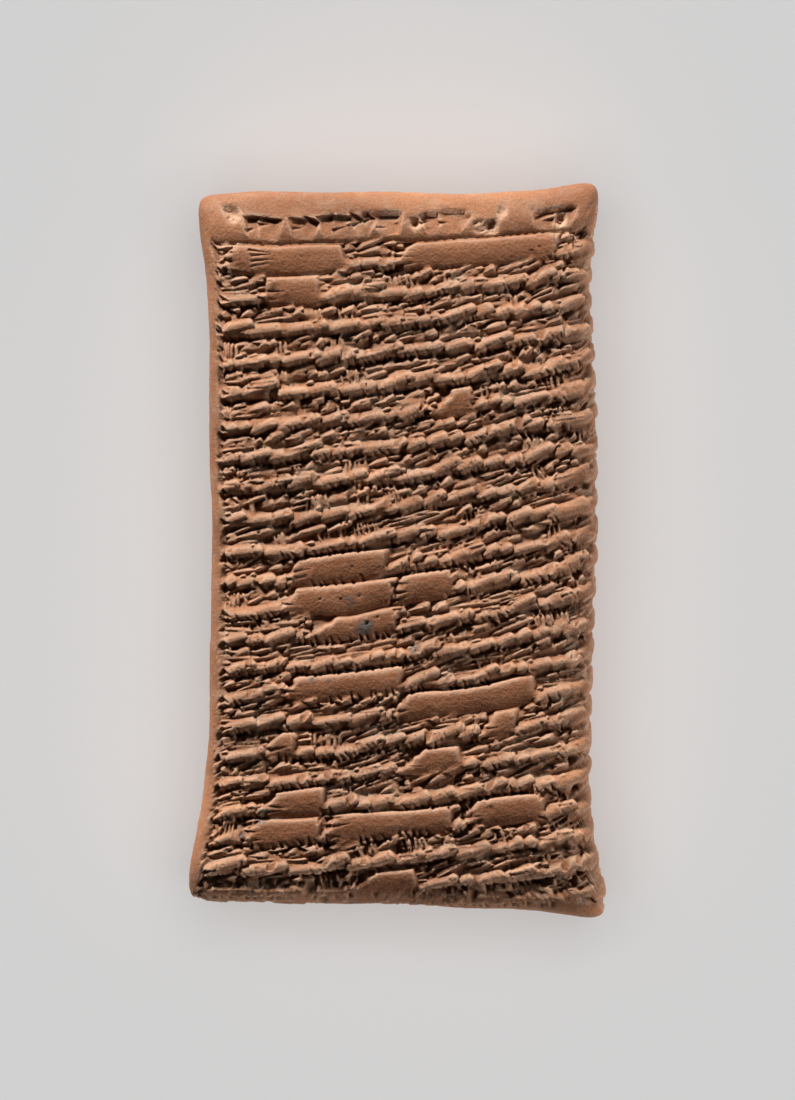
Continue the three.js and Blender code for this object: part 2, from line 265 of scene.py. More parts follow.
@dataclass
class Sheet:
    """Heights of the relief over the unrolled surface: place across and height along, in millimetres."""

    left: float = -46.0
    right: float = 46.0
    bottom: float = -72.0
    top: float = 72.0
    cell: float = 0.1
    across: Array = field(init=False)
    along: Array = field(init=False)
    heights: Array = field(init=False)

    def __post_init__(self) -> None:
        """Lay the empty sheet out."""
        self.across = np.arange(self.left, self.right, self.cell)
        self.along = np.arange(self.bottom, self.top, self.cell)
        self.heights = np.zeros((len(self.along), len(self.across)))

    def blank(self) -> Array:
        """An empty layer of the sheet's shape."""
        return np.zeros_like(self.heights)

    def near(self, x: float, y: float, reach: float) -> tuple[slice, slice]:
        """The cells near a point.

        Args:
            x: The point's place across.
            y: Its height.
            reach: How far off the cells may lie.

        Returns:
            Their rows and their columns.
        """
        columns = [int((x + side * reach - self.left) / self.cell) for side in (-1, 1)]
        rows = [int((y + side * reach - self.bottom) / self.cell) for side in (-1, 1)]
        return slice(max(0, rows[0]), max(0, rows[1] + 1)), slice(max(0, columns[0]), max(0, columns[1] + 1))

    def aligned(self, part: tuple[slice, slice], x: float, y: float, heading: float) -> tuple[Array, Array]:
        """Distances of a part's cells along a heading and to its left.

        Args:
            part: Rows and columns, from near().
            x: Place the distances are counted from.
            y: Height they are counted from.
            heading: Direction in radians, anticlockwise from the rows.

        Returns:
            Distances forward and distances to the left, in millimetres.
        """
        over = self.across[part[1]][None, :] - x
        up = self.along[part[0]][:, None] - y
        cosine, sine = math.cos(heading), math.sin(heading)
        return cosine * over + sine * up, cosine * up - sine * over

    def press(self, x: float, y: float, heading: float, wedge: Wedge) -> None:
        """Press a wedge.

        Args:
            x: Where its head lies, across.
            y: The head's height.
            heading: Direction of its tail, in radians.
            wedge: Its sizes.
        """
        part = self.near(x, y, wedge.length + 1.2)
        forward, aside = self.aligned(part, x, y, heading)
        steep = wedge.depth / (wedge.head / 2)
        beside = np.maximum(np.abs(aside) - wedge.flat, 0)
        flank = np.where(aside > 0, wedge.left, wedge.right) * steep * beside
        floor = np.maximum(
            wedge.depth * (1 - forward / wedge.head_length), wedge.tail * (1 - forward / wedge.length)
        )
        depth = np.minimum(wedge.wall * (forward + 0.15), floor - flank)
        here = self.heights[part]
        away = np.clip(-depth / steep, 0, 3)
        raised = (depth < 0) & (forward > -0.5) & (forward < wedge.length)
        here = here + wedge.lip * np.exp(-(((away - 0.12) / 0.16) ** 2)) * raised
        cut = here - depth if wedge.follows else np.minimum(here, -depth)
        self.heights[part] = np.where(depth > 0, cut, here)

    def heap(self, x: float, y: float, heading: float, mound: Mound) -> None:
        """Leave a mound standing.

        Args:
            x: Where its tip lies, across.
            y: The tip's height.
            heading: Direction from its tip, in radians.
            mound: Its sizes.
        """
        part = self.near(x, y, mound.length + 1.2)
        forward, aside = self.aligned(part, x, y, heading)
        share = np.clip(forward / mound.length, 0, 1)
        aside = aside + mound.bend * (1 - share) ** 2
        to_tip = np.clip(share / mound.tip, 0, 1) ** 0.65
        to_end = np.clip((1 - share) / mound.end, 0, 1) ** 0.4
        reach = mound.half_width * np.minimum(to_tip, to_end) + 1e-6
        lit, shaded = aside / (reach * (1 + mound.shelve)), -aside / (reach * (1 - mound.shelve))
        ratio = np.maximum(lit, shaded)
        body = 1 - np.clip(ratio, 0, 1) ** mound.roundness
        swell = np.sqrt(np.clip(share / (mound.tip * 0.8), 0, 1))
        crest = mound.top - mound.sunk + mound.rise * (share - 0.5) - mound.foot
        height = mound.foot + crest * body * swell
        inside = (forward > 0) & (forward < mound.length) & (ratio < 1)
        here = self.heights[part]
        self.heights[part] = np.where(inside, np.maximum(here, height), here)

    def dent(self, x: float, y: float, size: float, depth: float, lean: float = 0.0) -> None:
        """Sink a worn hollow.

        Args:
            x: Its place across.
            y: Its height.
            size: How far it is across.
            depth: How deep it is.
            lean: Direction of its deeper side, in radians.
        """
        part = self.near(x, y, size)
        forward, aside = self.aligned(part, x, y, lean)
        ratio = (forward**2 + (1.25 * aside) ** 2) / (size / 2) ** 2
        bowl = np.clip(1 - ratio, 0, 1) ** 0.7 * (1 + 0.5 * forward / size)
        self.heights[part] -= depth * bowl

    def noise(self, rng: np.random.Generator, size: float, stretch: float = 1.0) -> Array:
        """Smooth noise of about unit height.

        Args:
            rng: The seeded source.
            size: Distance between its lumps, in millimetres.
            stretch: How many times longer they are along the rows.

        Returns:
            One value for every cell.
        """
        rows = int((self.top - self.bottom) / size) + 4
        columns = int((self.right - self.left) / (size * stretch)) + 4
        grid = rng.standard_normal((rows, columns))
        tall = spline(grid, (self.along - self.bottom) / size)
        return spline(tall.T, (self.across - self.left) / (size * stretch)).T

    def soften(self, layer: Array, radius: float) -> Array:
        """Blur a layer.

        Args:
            layer: One value for every cell.
            radius: How far it is blurred, in millimetres.

        Returns:
            The blurred layer.
        """
        spread = radius / self.cell
        reach = max(1, int(math.ceil(3 * spread)))
        weights = np.exp(-0.5 * (np.arange(-reach, reach + 1) / spread) ** 2)
        weights /= weights.sum()
        for axis in (0, 1):
            width = [(reach, reach) if axis == other else (0, 0) for other in (0, 1)]
            padded = np.pad(layer, width, mode="edge")
            count = layer.shape[axis]
            layer = sum(
                weight * (padded[i : i + count] if axis == 0 else padded[:, i : i + count])
                for i, weight in enumerate(weights)
            )
        return layer

    def read(self, layer: Array, x: Array, y: Array) -> Array:
        """A layer's values between its cells.

        Args:
            layer: One value for every cell.
            x: Places across, clamped to the sheet.
            y: Heights along, clamped to the sheet.

        Returns:
            One value for each place.
        """
        column = np.clip((x - self.left) / self.cell, 0, len(self.across) - 1.001)
        row = np.clip((y - self.bottom) / self.cell, 0, len(self.along) - 1.001)
        c, r = column.astype(int), row.astype(int)
        right, up = column - c, row - r
        low = layer[r, c] * (1 - right) + layer[r, c + 1] * right
        high = layer[r + 1, c] * (1 - right) + layer[r + 1, c + 1] * right
        return low * (1 - up) + high * up


@dataclass
class Scribe:
    """Rules the rows and fills them with seeded lumps and strokes that spell nothing."""

    sheet: Sheet
    ruling: Ruling = Ruling()
    seed: int = 7
    margin: float = -28.1  # where the rows begin
    turn_away: float = 36.0  # where they have run out round the right edge
    foot: tuple[float, ...] = (-49.9, -50.1, -50.4, -50.7, -51.2, -51.9, -52.7)  # where the last row stops
    plain_stretches: tuple[tuple[int, float, float], ...] = (
        (1, -0.05, 0.12), (1, 0.205, 0.24), (1, 0.51, 0.565), (1, 0.69, 0.855), (1, 0.945, 1.05),
        (2, 0.05, 0.36), (2, 0.50, 0.91), (3, 0.14, 0.29), (7, 0.57, 0.69), (12, 0.20, 0.455),
        (13, 0.185, 0.475), (13, 0.48, 0.63), (14, 0.25, 0.485), (16, 0.195, 0.50), (17, 0.485, 0.855),
        (18, 0.15, 0.225), (18, 0.72, 0.805), (19, 0.50, 0.665), (20, 0.15, 0.31), (21, 0.12, 0.305),
        (21, 0.32, 0.64), (21, 0.68, 0.88), (23, 0.40, 0.55),
    )
    saw_edges: tuple[tuple[int, float, float], ...] = (
        (9, 0.33, 0.58), (12, 0.26, 0.40), (14, 0.26, 0.48), (16, 0.31, 0.50), (18, 0.18, 0.50),
        (21, 0.11, 0.33), (21, 0.41, 0.60),
    )
    spare_above: int = 2  # lines ruled beyond the first and the last, so that edges have them too
    spare_below: int = 3
    waver: float = 0.2
    waver_knots: int = 18
    least_stretch: float = 0.8  # narrower ones are left alone
    rng: np.random.Generator = field(init=False)
    lines: Array = field(init=False)
    bare: Array = field(init=False)  # 1 where the clay is left smooth

    def __post_init__(self) -> None:
        """Seed the scribe's hand and rule the lines."""
        self.rng = np.random.default_rng(self.seed)
        numbers = range(-self.spare_above, self.ruling.rows + self.spare_below + 1)
        across = self.sheet.across
        self.lines = np.stack([self.ruling.height(float(line), across) + self._waver() for line in numbers])

    def some(self, least: float, greatest: float) -> float:
        """A seeded amount between two."""
        return float(self.rng.uniform(least, greatest))

    def _drawn(self, size: Size) -> float:
        """A size as it is, or drawn from its range."""
        return self.some(*size[:2]) * math.prod(size[2:]) if isinstance(size, tuple) else size

    def _steps(self, start: float, reach: float, first: Range, step: Range) -> Iterator[float]:
        """Seeded steps along a reach.

        Args:
            start: Where the reach starts.
            reach: How far it goes.
            first: Least and greatest distance to the first step.
            step: Least and greatest distance between steps.

        Yields:
            Each place stepped on.
        """
        at = start + self.some(*first)
        while at < start + reach:
            yield at
            at += self.some(*step)

    def lay_ground(self) -> None:
        """Lay the rims, the margin and the bare profile of every row on the sheet."""
        sheet = self.sheet
        numbers = np.arange(len(self.lines)) - self.spare_above
        down = np.empty_like(sheet.heights)
        for column in range(len(sheet.across)):
            down[:, column] = np.interp(-sheet.along, -self.lines[:, column], numbers)
        row = np.floor(down).astype(int) + 1
        share = down - np.floor(down)
        bare = self._bareness(row, share)
        written = Ground.WRITTEN.height(share, 0.02) + 0.04 * sheet.noise(self.rng, 1.1)
        plain = Ground.PLAIN.height(share, 0.012) + 0.02 * sheet.noise(self.rng, 2.4)
        ground = written * (1 - bare) + plain * bare
        ground = np.where(row == 1, Ground.OPENING.height(share, 0.008), ground)
        ground += 0.008 * sheet.noise(self.rng, 0.2, stretch=7) + 0.014 * sheet.noise(self.rng, 0.5)
        edge = self.margin - 0.6 + 0.5 * sheet.noise(self.rng, 2.6)
        foot = spline(self.foot, (sheet.across / self.ruling.half_width + 1) / 2 * (len(self.foot) - 1))
        foot = foot + 0.25 * sheet.noise(self.rng, 2.0)
        strength = np.clip(down / 0.1, 0, 1) * smoothstep(0, 0.7, sheet.along[:, None] - foot)
        strength *= smoothstep(0, 1.3, sheet.across[None, :] - edge)
        strength *= np.clip((self.turn_away + 5 - sheet.across[None, :]) / 6, 0, 1)
        self.bare = np.where(row == 1, 0.5, bare) * strength + 0.35 * (1 - strength)
        hand = 0.05 * sheet.noise(self.rng, 3.2, stretch=1.6) + 0.02 * sheet.noise(self.rng, 0.9)
        sheet.heights = ground * strength + (0.06 + hand) * (1 - strength)

    def _waver(self) -> Array:
        """How far one ruled line wavers along its length."""
        knots = self.rng.standard_normal(self.waver_knots) * self.waver
        return spline(knots, np.linspace(0, self.waver_knots - 1, len(self.sheet.across)))

    def _bareness(self, row: Array, share: Array) -> Array:
        """How plain each cell is.

        Args:
            row: The row each cell lies in.
            share: How far down the row it lies.

        Returns:
            1 where a row is left plain, 0 where it is written.
        """
        bare = self.sheet.blank()
        width = (self.sheet.across / self.ruling.half_width + 1) / 2
        ragged = 0.006 * self.sheet.noise(self.rng, 0.9)
        for number, start, end in self.plain_stretches:
            lean = self.some(-0.2, 0.5) * self.ruling.pitch / (2 * self.ruling.half_width)
            leaning = width[None, :] + lean * (share - 0.5)
            pointed = leaning - self.some(0, 0.09) * np.abs(share - self.some(0.3, 0.95)) + ragged
            stretch = smoothstep(start - 0.01, start + 0.01, pointed)
            stretch *= smoothstep(-end - 0.008, 0.008 - end, -leaning)
            bare = np.where(row == number, np.maximum(bare, stretch), bare)
        return bare

    def spot(self, row: float, share: float, place: float) -> tuple[float, float]:
        """A spot in a row.

        Args:
            row: The row.
            share: How far down it the spot lies.
            place: How far across.

        Returns:
            The row's height and slope there.
        """
        above = min(max(row + self.spare_above - 1 + share, 0.0), len(self.lines) - 1.001)
        line, part = int(above), above % 1.0
        column = min(max(int((place - self.sheet.left) / self.sheet.cell), 0), len(self.sheet.across) - 6)
        between = self.lines[line] * (1 - part) + self.lines[line + 1] * part
        return float(between[column]), math.atan2(between[column + 5] - between[column], 5 * self.sheet.cell)

    def cut(self, row: int, share: float, place: float, turn: float, **sizes: Size) -> None:
        """Press a wedge in a row.

        Args:
            row: The row.
            share: How far down it the head lies.
            place: How far across.
            turn: Radians that the tail is turned down from the row.
            **sizes: Fields of Wedge, each an amount or a range to draw from.
        """
        height, slope = self.spot(row, share, place)
        wedge = Wedge(**{name: self._drawn(size) for name, size in sizes.items()})
        self.sheet.press(place, height, slope - turn, wedge)

    def leave(self, row: int, share: float, place: float, turn: float, **sizes: Size) -> None:
        """Leave a mound standing in a row.

        Args:
            row: The row.
            share: How far down it the tip lies.
            place: How far across.
            turn: Radians that the mound is turned down from the row.
            **sizes: Fields of Mound, each an amount or a range to draw from.
        """
        height, slope = self.spot(row, share, place)
        mound = Mound(**{name: self._drawn(size) for name, size in sizes.items()})
        self.sheet.heap(place, height, slope - turn, mound)

    def fingers(self, row: int, place: float, width: float, sunk: float) -> None:
        """Thin mounds one above the other, as between stacked strokes.

        Args:
            row: The row.
            place: Where they begin.
            width: How far they run.
            sunk: How much lower than usual they stand.
        """
        count = int(self.rng.choice([2, 2, 3, 3, 4] if row > 10 else [1, 2, 2, 3, 3]))
        room = self.some(1.9, 2.5)
        pitches = self.rng.uniform(0.7, 1.3, count)
        pitches *= room / pitches.sum()
        depth, lean = self.some(0.0, 0.05) * self.ruling.pitch, self.some(-0.3, 0.02)
        for pitch in pitches:
            share = (depth + pitch / 2) / self.ruling.pitch
            depth += pitch
            self.leave(
                row, share, place + self.some(-0.6, 0.4), lean + self.some(-0.12, 0.12),
                length=(1.1, 1.8, width), half_width=(0.5, 0.62, pitch),
                top=(-0.34, -0.06), sunk=sunk, bend=(-0.05, 0.35), tip=(0.3, 0.8), end=(0.06, 0.25),
                rise=(0, 0.2),
            )

    def pickets(self, row: int, place: float, width: float, sunk: float) -> None:
        """Upright mounds side by side, as between posts.

        Args:
            row: The row.
            place: Where they begin.
            width: How far they run.
            sunk: How much lower than usual they stand.
        """
        count = max(2, round(width / self.some(0.55, 0.85)))
        pitch = width / count
        first = self.some(-0.02, 0.05)
        for i in range(count):
            share, turn = first + self.some(-0.02, 0.03), self.some(1.2, 1.65)
            self.leave(
                row, share, place + (i + 0.5) * width / count, turn,
                length=(1.9, 2.7), half_width=(0.46, 0.56, pitch), top=(-0.34, -0.06), sunk=sunk,
                bend=(-0.2, 0.2), tip=(0.15, 0.4), end=(0.1, 0.3), shelve=-0.08,
            )

    def leaf(self, row: int, place: float, width: float, sunk: float) -> None:
        """One broad mound, pointed to the left.

        Args:
            row: The row.
            place: Where it begins.
            width: How far it runs.
            sunk: How much lower than usual it stands.
        """
        self.leave(
            row, self.some(0.18, 0.26), place, self.some(-0.35, -0.05),
            length=(1.0, 1.5, width), half_width=(0.7, 1.15), top=(-0.1, 0.12), sunk=sunk,
            bend=(0.2, 0.6), tip=(0.5, 0.95), end=0.08, rise=0.1,
        )

    def upper_storey(self, row: int, place: float, width: float, sunk: float) -> None:
        """Fill the upper half of a stretch with small mounds.

        Args:
            row: The row.
            place: Where the stretch begins.
            width: How far it runs.
            sunk: How much lower than usual they stand.
        """
        reach = 3.6 if row < 11 else 5.6
        while width > 0.5:
            part = min(width, self.some(1.4, reach))
            kind = self.rng.choice([self.fingers, self.pickets, self.leaf], p=[0.52, 0.12, 0.36])
            kind(row, place, part, sunk)
            place += part + self.some(-0.05, 0.1)
            width -= part

    def rope(self, row: int, place: float, width: float, fuller: float = 1.0) -> None:
        """The ridge under the strokes, a chain of leaf-shaped mounds.

        Args:
            row: The row.
            place: Where it begins.
            width: How far it runs.
            fuller: How many times larger than usual its mounds are.
        """
        end = place + width
        while place < end:
            length = min(self.some(2.4, 7.2), end - place + 0.8)
            share, turn, half_width = self.some(0.66, 0.76), self.some(-0.22, 0.02), self.some(0.95, 1.3)
            top, bend, tip = self.some(0.08, 0.3), self.some(0.3, 0.9), self.some(1.0, 2.4)
            self.leave(
                row, share, place, turn, length=length * fuller, half_width=half_width * fuller, top=top,
                bend=bend, tip=min(0.85, tip / length), end=min(0.35, 0.5 / length), rise=(0.05, 0.2),
                roundness=2.6,
            )
            if self.rng.random() < 0.35:
                share, turn = self.some(0.46, 0.54), self.some(-0.25, 0)
                self.leave(
                    row, share, place + self.some(0, 0.8), turn, length=(1.0, 2.2), half_width=(0.28, 0.42),
                    top=(-0.05, 0.12), bend=(0.1, 0.4), tip=0.7, roundness=2.2,
                )
            place += length * self.some(0.6, 0.8)

    def flutes(self, row: int, place: float, width: float) -> None:
        """Slanting nicks that cut the lower edge of the ridge into teeth.

        Args:
            row: The row.
            place: Where they begin.
            width: How far they run.
        """
        for at in self._steps(place, width, (0, 0.8), (0.7, 1.7)):
            turn = -math.pi / 2 - self.some(0.1, 0.8)
            self.cut(
                row, self.some(0.97, 1.05), at, turn, head=(0.6, 1.2), head_length=(1.2, 1.9),
                length=(1.3, 2.0), depth=(0.5, 0.95), tail=(0.1, 0.2), left=(0.9, 1.4), right=(1.2, 2.0),
                wall=3.0, lip=0.03, follows=True,
            )

    def panel(self, row: int, place: float, width: float) -> None:
        """A broad press whose flat floor climbs down and left to the ridge, under a crisp upper wall.

        Args:
            row: The row.
            place: Its left side.
            width: How wide it is.
        """
        self.cut(
            row, self.some(0.0, 0.12), place + width, math.pi / 2 + self.some(0.1, 0.7),
            head=(0.8, 1.2, width), head_length=(2.0, 3.0), length=(2.2, 3.2), depth=(0.45, 0.7),
            tail=0.1, left=(2.0, 3.5), right=(0.5, 1.2), wall=3.0, flat=(0.1, 0.3, width),
        )

    def posts(self, row: int, place: float, width: float) -> None:
        """Upright wedges whose tails cross the upper storey.

        Args:
            row: The row.
            place: Where they begin.
            width: How far they run.
        """
        for at in self._steps(place, width, (0, 1.5), (1.4, 4.0)):
            turn = math.pi / 2 + self.some(-0.4, 0.12)
            self.cut(
                row, self.some(-0.06, 0.12), at, turn, head=(0.5, 1.1), head_length=(0.6, 1.2),
                length=(1.4, 3.4), depth=(0.6, 0.9), tail=(0.25, 0.5), left=(0.5, 1.0), right=(1.0, 1.8),
            )

    def notches(self, row: int, place: float, width: float) -> None:
        """Fine tails that break the ridge into beads.

        Args:
            row: The row.
            place: Where they begin.
            width: How far they run.
        """
        for at in self._steps(place, width, (0.1, 0.8), (0.9, 2.4)):
            turn = math.pi / 2 + self.some(-0.5, 0.1)
            self.cut(
                row, self.some(0.46, 0.62), at, turn, head=(0.3, 0.55), head_length=0.7, length=(1.5, 2.6),
                depth=(0.1, 0.3), tail=(0.1, 0.25), left=1.2, right=1.2, wall=0.8, lip=0.03, follows=True,
            )

    def burr(self, row: int, place: float) -> None:
        """A thread of clay pushed up across the line below a row.

        Args:
            row: The row.
            place: How far across.
        """
        turn = math.pi / 2 + self.some(-0.7, 0.2)
        self.leave(
            row, self.some(0.84, 0.96), place, turn, length=(0.9, 1.7), half_width=(0.12, 0.19),
            top=(-0.2, 0.1), bend=(-0.3, 0.3), tip=0.2, end=0.3, shelve=0.0, foot=-0.8,
        )

    def long_bars(self, row: int, place: float, width: float) -> None:
        """Long fine wedges along the row, one above the other, with a steep upper side.

        Args:
            row: The row.
            place: Where they begin.
            width: How far they run.
        """
        for share in self._steps(0, 0.62, (0.02, 0.12), (0.13, 0.22)):
            self.cut(
                row, share, place + self.some(-0.4, 0.6), self.some(-0.16, 0.08), head=(0.6, 1.0),
                head_length=(0.8, 1.3), length=(0.8, 1.5, width), depth=(0.3, 0.5),
                tail=(0.18, 0.32), left=(1.4, 2.0), right=(0.45, 0.7), wall=(0.8, 1.6), follows=True,
            )

    def bar(self, row: int, place: float) -> None:
        """One deep wedge lying along the row.

        Args:
            row: The row.
            place: How far across.
        """
        self.cut(
            row, self.some(0, 0.12), place, self.some(-0.2, 0.1), head=(1.0, 1.6), head_length=(1.3, 2.2),
            length=(1.6, 3.2), depth=(0.8, 1.0), tail=0.3, left=1.2, right=0.7, wall=1.5,
        )

    def opening_strokes(self, start: float, end: float) -> None:
        """Large crisp wedges with flat floors in the taller first row.

        Args:
            start: Where they begin.
            end: Where they end.
        """
        place = start
        while place < end - self.least_stretch:
            width = min(self.some(1.8, 3.6), end - place)
            middle, turn = place + width / 2, math.pi / 2 + self.some(-0.25, 0.5)
            self.cut(
                1, self.some(0.04, 0.2), middle, turn, head=width, head_length=(3.2, 4.0), length=(3.3, 4.0),
                depth=(0.5, 0.78), tail=(0.1, 0.3), left=(1.6, 3.0), right=(1.0, 2.0), wall=4.0, lip=0.04,
                flat=(0.26, 0.42, width),
            )
            for _ in range(int(self.rng.integers(0, 2))):
                self.leave(
                    1, self.some(0.4, 0.8), place + self.some(-0.5, 0.5) * width, self.some(-0.5, 0.2),
                    length=(0.7, 1.2, width), half_width=(0.35, 0.6), top=(-0.3, 0.05),
                    bend=(0.1, 0.5), tip=(0.4, 0.8),
                )
            if self.rng.random() < 0.5:
                self.cut(
                    1, self.some(0.3, 0.6), place, self.some(-0.35, 0.1), head=(0.5, 0.9), head_length=1.3,
                    length=(1.8, 3.0), depth=(0.3, 0.5), tail=0.3, left=1.8, right=0.6, wall=1.8,
                    follows=True,
                )
            place += width * self.some(0.75, 1.05)

    def split_end(self, row: int, place: float) -> None:
        """Pointed strokes that run into the left end of a plain stretch.

        Args:
            row: The row.
            place: The stretch's left end.
        """
        for share in self._steps(0, 0.85, (0.12, 0.3), (0.2, 0.34)):
            self.cut(
                row, share, place + self.some(-0.9, 0.1), self.some(-0.12, 0.16), head=(0.8, 1.3),
                head_length=(1.2, 2.2), length=(2.2, 5.0), depth=(0.5, 0.8), tail=(0.25, 0.4),
                left=(1.4, 2.2), right=(0.5, 0.8), wall=2.0, follows=True,
            )

    def fine_comb(self, row: int, place: float) -> None:
        """A few short fine strokes one above the other on a plain stretch.

        Args:
            row: The row.
            place: Where they begin.
        """
        for i in range(4):
            self.cut(
                row, 0.16 + 0.17 * i, place + self.some(-0.3, 0.3), self.some(-0.05, 0.12) - 0.05 * i,
                head=0.42, head_length=0.9, length=(3.2, 4.4), depth=0.26, tail=0.22, left=1.6, right=0.8,
                wall=1.2, lip=0.03,
            )

    def written_stretches(self, row: int) -> list[Range]:
        """The stretches of a row between its plain ones.

        Args:
            row: The row.

        Returns:
            Where each begins and ends, the last running off round the right edge.
        """
        width = 2 * self.ruling.half_width
        start, stretches = self.margin, []
        for number, left, right in self.plain_stretches:
            if number == row:
                stretches.append((start, left * width - width / 2))
                start = right * width - width / 2 - 0.5
        return [*stretches, (start, self.turn_away)]

    def write(self, row: int) -> None:
        """Fill the written stretches of one row: mounds first, then the strokes over them.

        Args:
            row: The row.
        """
        written = self.written_stretches(row)
        stretches = [(start, end) for start, end in written if end - start > self.least_stretch]
        for start, end in stretches:
            self.upper_storey(row, start - 0.4, end - start + 0.4, sunk=0.18)
            self.rope(row, start, end - start - 0.2)
            self.upper_storey(row, start, end - start, sunk=0.0)
        run_out = self.some(19, 25)
        self.rope(row, run_out, self.turn_away - run_out, fuller=1.25)
        for start, end in stretches:
            place, end = start, min(end, self.some(24, 29))
            while place < end - self.least_stretch:
                width = min(self.some(2.0, 5.0), end - place)
                chance = self.rng.random()
                if chance < 0.3:
                    self.long_bars(row, place, width)
                elif chance < 0.6:
                    self.posts(row, place, width)
                else:
                    self.panel(row, place, min(width, self.some(1.4, 2.6)))
                if self.rng.random() < 0.55:
                    self.notches(row, place, width)
                if self.rng.random() < 0.2:
                    self.bar(row, place)
                if self.rng.random() < 0.65:
                    self.flutes(row, place, width)
                if self.rng.random() < 0.22:
                    self.burr(row, place + self.some(0, width))
                place += width + self.some(0, 0.25)

    def begin_row(self, row: int) -> None:
        """The deep wedges that every row begins with, hard against the margin.

        Args:
            row: The row.
        """
        for share in (self.some(0.1, 0.3), self.some(0.55, 0.85)):
            self.cut(
                row, share, self.margin + self.some(0.0, 0.6), self.some(-0.2, 0.9), head=(1.3, 2.1),
                head_length=(1.2, 2.0), length=(1.6, 2.6), depth=(1.0, 1.3), tail=0.4, left=1.2, right=0.9,
                wall=2.6,
            )

    def work(self) -> None:
        """Rule and write the whole sheet."""
        self.lay_ground()
        for start, end in self.written_stretches(1):
            if end - start > self.least_stretch:
                self.opening_strokes(start, end)
        for row in range(2, self.ruling.rows + 1):
            self.write(row)
            self.begin_row(row)
            for _, end in self.written_stretches(row)[:-1]:
                self.split_end(row, end)
        self.fine_comb(2, -22.2)
        width = 2 * self.ruling.half_width
        for row, start, end in self.saw_edges:
            self.flutes(row, start * width - width / 2, (end - start) * width)


@dataclass(frozen=True)
class Wear:
    """Chips, pits and stains: place across, height along, size, depth, all in millimetres."""

    chips: tuple[tuple[float, float, float, float], ...] = (
        (-23.3, 49.4, 3.6, 0.7), (2.7, 47.7, 2.6, 0.6), (13.2, 47.2, 3.4, 0.45), (15.1, 49.7, 2.6, 0.3),
        (24.4, 48.6, 2.2, 0.6), (-19.4, 22.6, 2.6, 0.5), (-24.8, 50.6, 2.2, 0.4),
    )
    stains: tuple[tuple[float, float, float], ...] = (
        (-5.8, -11.3, 2.6), (-8.4, -6.9, 1.0), (-7.6, -7.6, 0.9), (-13.8, -19.0, 1.1), (-11.3, -19.1, 0.9),
        (-20.2, -38.2, 1.2), (-20.6, -39.8, 1.0), (-22.8, -41.7, 1.0), (1.9, -14.4, 1.4), (20.7, 27.8, 0.6),
    )
    hollows: tuple[tuple[float, float, float, float], ...] = ((27.6, 46.4, 2.4, 0.8),)
    specks: tuple[tuple[float, float, float], ...] = ((23.4, 47.3, 0.5), (10.0, 12.1, 0.5))
    pit_count: int = 260
    pitted_width: float = 45.0  # how far from the middle the pits reach
    pitted_height: float = 71.0
    chip_parts: int = 5
    seed: int = 21

    def wear_down(self, sheet: Sheet) -> Array:
        """Chip and pit the sheet.

        Args:
            sheet: The relief to wear.

        Returns:
            A layer that is 1 where fresh, paler clay shows.
        """
        rng = np.random.default_rng(self.seed)
        fresh = sheet.blank()
        rough = sheet.noise(rng, 0.3)
        for x, y, size, depth in self.chips:
            before = sheet.heights.copy()
            for _ in range(self.chip_parts):
                turn, off = rng.uniform(0, 2 * math.pi), size * rng.uniform(0.05, 0.3)
                part = size * rng.uniform(0.5, 0.95)
                sunk = depth * rng.uniform(0.3, 0.6)
                sheet.dent(x + off * math.cos(turn), y + off * math.sin(turn), part, sunk, turn)
            chipped = np.clip((before - sheet.heights) / (0.4 * depth), 0, 1)
            sheet.heights += 0.22 * depth * rough * chipped
            fresh = np.maximum(fresh, chipped)
        for x, y, size, depth in self.hollows:
            sheet.dent(x, y, size, depth)
        for _ in range(self.pit_count):
            x = rng.uniform(-self.pitted_width, self.pitted_width)
            y = rng.uniform(-self.pitted_height, self.pitted_height)
            sheet.dent(x, y, rng.uniform(0.35, 0.9), rng.uniform(0.08, 0.25), rng.uniform(0, 6))
        return fresh

    @staticmethod
    def blots(sheet: Sheet, spots: tuple[tuple[float, float, float], ...]) -> Array:
        """A layer of soft-edged blots.

        Args:
            sheet: The relief they lie on.
            spots: Place across, height and size of each.

        Returns:
            1 in the blots, 0 elsewhere.
        """
        layer = sheet.blank()
        for x, y, size in spots:
            part = sheet.near(x, y, 2 * size)
            forward, aside = sheet.aligned(part, x, y, 0.4)
            blot = np.clip(1.3 - (forward**2 + (1.4 * aside) ** 2) / (size / 1.6) ** 2, 0, 1)
            layer[part] = np.maximum(layer[part], blot)
        return layer


